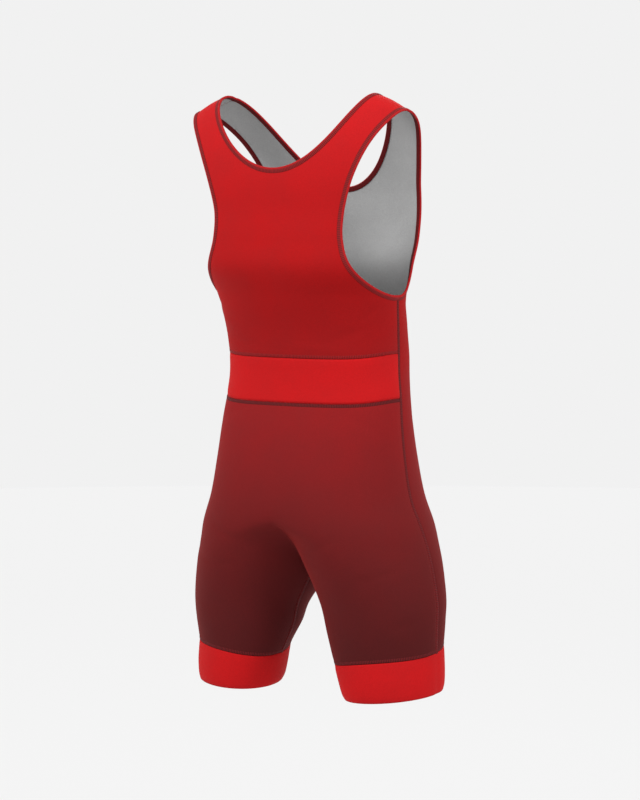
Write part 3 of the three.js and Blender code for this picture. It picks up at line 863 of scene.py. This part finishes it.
def stitch_material(name, thread, ground, depth=1.0, rims=()):
    """rims are (from, to, colour) in shares of the way round the strip."""
    material, tree, shader = new_material(name)
    where = add_node(tree, "ShaderNodeSeparateXYZ", i0=add_node(tree, "ShaderNodeTexCoord").outputs["UV"])
    turns = add_node(tree, "ShaderNodeMath", {"operation": "MULTIPLY"}, i0=where.outputs[1])
    turns.inputs[1].default_value = 2 * math.pi / STITCH_SPACING
    wave = add_node(tree, "ShaderNodeMath", {"operation": "SINE"}, i0=turns.outputs[0])
    bars = map_range(tree, wave.outputs[0], (-0.9, 0.9, 0.0, 1.0), {"interpolation_type": "SMOOTHSTEP"})
    noise = add_node(tree, "ShaderNodeTexNoise", {"Scale": 900.0, "Detail": 2.0},
                     Vector=add_node(tree, "ShaderNodeTexCoord").outputs["Object"])
    mix = add_node(tree, "ShaderNodeMix", {"data_type": "RGBA"})
    tree.links.new(bars, mix.inputs[0])
    mix.inputs[6].default_value = to_linear(ground)
    mix.inputs[7].default_value = to_linear(thread)
    colour = mix.outputs[2]
    for low, high, code in rims:
        above = add_node(tree, "ShaderNodeMath", {"operation": "GREATER_THAN"}, i0=where.outputs[0])
        above.inputs[1].default_value = low
        below = add_node(tree, "ShaderNodeMath", {"operation": "LESS_THAN"}, i0=where.outputs[0])
        below.inputs[1].default_value = high
        inside = add_node(
            tree, "ShaderNodeMath", {"operation": "MULTIPLY"}, i0=above.outputs[0], i1=below.outputs[0])
        rim = add_node(tree, "ShaderNodeMix", {"data_type": "RGBA"})
        tree.links.new(inside.outputs[0], rim.inputs[0])
        tree.links.new(colour, rim.inputs[6])
        rim.inputs[7].default_value = to_linear(code)
        colour = rim.outputs[2]
    tree.links.new(colour, shader.inputs["Base Color"])
    height = add_node(tree, "ShaderNodeMath", {"operation": "ADD"}, i0=bars, i1=noise.outputs[0])
    bump = add_node(
        tree, "ShaderNodeBump", {"Strength": 0.5 * depth, "Distance": 0.0005}, Height=height.outputs[0])
    tree.links.new(bump.outputs[0], shader.inputs["Normal"])
    shader.inputs["Roughness"].default_value = 0.7
    shader.inputs["Specular IOR Level"].default_value = 0.12
    return material


# Folded knit binding: red rim and maroon coverstitch outside; the dark maroon inside is partly maroon looper
# thread and partly painted shade under the fold.
binding_knit = stitch_material("binding_red_rim_maroon_stitch_painted_shade_inside", "#861a1c", "#5a1214",
                               rims=((0.27, 0.47, "#9c1215"), (0.5, 0.9, "#5a0e10")))
# Maroon flatlock thread of the long seams.
flatlock = stitch_material("maroon_flatlock_thread", "#6a1416", "#470e10")
# Maroon coverstitch over the band's edges.
coverstitch = stitch_material("maroon_coverstitch_thread", "#661618", "#3a0b0d", depth=1.4)
# Brighter red-brown coverstitch above the waist band.
bright_coverstitch = stitch_material("red_brown_coverstitch_thread", "#8a1517", "#640c0e", depth=1.4)
print("stitches every", STITCH_SPACING * 1000, "mm")

# %% [markdown]
# ## Dressing each piece
# Every piece rides on the one body and takes its finish; for the sheets the finish and
# the wall are listed in a table.

# %% Dress the sheets
SLOTS = {
    "front_panel": ("body_knit", body_knit, WALL),
    "upper_back_panel": ("body_knit", body_knit, WALL),
    "waist_band": ("band_knit", band_knit, WALL),
    "lower_back_panel": ("body_knit", body_knit, WALL),
    "leg_band_left": ("band_knit", band_knit, 2 * WALL),
    "leg_band_right": ("band_knit", band_knit, 2 * WALL),
}
for node, piece in panels.items():
    slot, material, thickness = SLOTS[node]
    inside = material if "leg" in node else grey_back
    add_wall(piece, thickness * MM, [material, inside])
    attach(piece, "root")
    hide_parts(node)
print("sheets", list(panels))

# %% Dress the bindings and the seams
for node, piece in bindings.items():
    piece.data.materials.append(binding_knit)
    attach(piece, "root")
    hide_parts(node)
for name, piece in strips.items():
    thread = coverstitch if "stitching" in name else flatlock
    piece.data.materials.append(bright_coverstitch if name == "waist_upper_stitching" else thread)
    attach(piece, "root")
print("bindings and seams", len(bindings) + len(strips))

# %% [markdown]
# ## Floor, light and camera
# The garment hangs over a flat pale floor, which glows as brightly as the plain world
# around it, so hardly any edge shows between them. The light is that of a plain studio:
# three broad soft lamps, the strongest behind the garment, and an even white world.

# %% The floor
FLOOR = -1.5
bm = bmesh.new()
bmesh.ops.create_circle(bm, cap_ends=True, cap_tris=False, segments=96, radius=9.0)
bmesh.ops.translate(bm, verts=bm.verts, vec=(0, 0, FLOOR))
floor = add_object("floor", bm)
floor_material, _, floor_shader = new_material("pale_matt_floor")
floor_shader.inputs["Base Color"].default_value = to_linear("#303030")
floor_shader.inputs["Roughness"].default_value = 0.9
floor_shader.inputs["Emission Color"].default_value = (1, 1, 1, 1)
floor_shader.inputs["Emission Strength"].default_value = 0.81
floor.data.materials.append(floor_material)
print("floor at", FLOOR)

# %% The light
world = bpy.data.worlds.new("studio")
world.use_nodes = True
background = world.node_tree.nodes["Background"]
background.inputs[0].default_value = (1, 1, 1, 1)
background.inputs[1].default_value = 0.88
bpy.context.scene.world = world
bpy.context.scene.view_settings.view_transform = "Standard"


def soft_light(name, place, aim, size, power):
    data = bpy.data.lights.new(name, "AREA")
    data.shape = "DISK"
    data.size = size
    data.energy = power
    made = bpy.data.objects.new(name, data)
    made.location = place
    made.rotation_euler = (Vector(aim) - Vector(place)).to_track_quat("-Z", "Y").to_euler()
    bpy.context.scene.collection.objects.link(made)


soft_light("key", (1.3, 3.2, 2.3), (0, 0, -0.3), 1.8, 120)
soft_light("fill", (-3.3, 0.5, 1.2), (0, 0, -0.4), 2.0, 75)
soft_light("front", (1.8, -3.2, 1.6), (0, 0, -0.4), 2.0, 40)

# %% The camera
AZIMUTH = 214.0
ELEVATION = 4.3
DISTANCE = 4.2
AIM = Vector((0, 0, -0.4365))
azimuth, elevation = math.radians(AZIMUTH), math.radians(ELEVATION)
level = math.cos(elevation)
away = Vector((math.sin(azimuth) * level, -math.cos(azimuth) * level, math.sin(elevation)))
camera_data = bpy.data.cameras.new("camera")
camera_data.lens = 132.2
camera_data.sensor_width = 36
camera = bpy.data.objects.new("camera", camera_data)
camera.location = AIM + away * DISTANCE
camera.rotation_euler = (-away).to_track_quat("-Z", "Y").to_euler()
bpy.context.scene.collection.objects.link(camera)
bpy.context.scene.camera = camera
print("camera at", [round(v, 2) for v in camera.location])
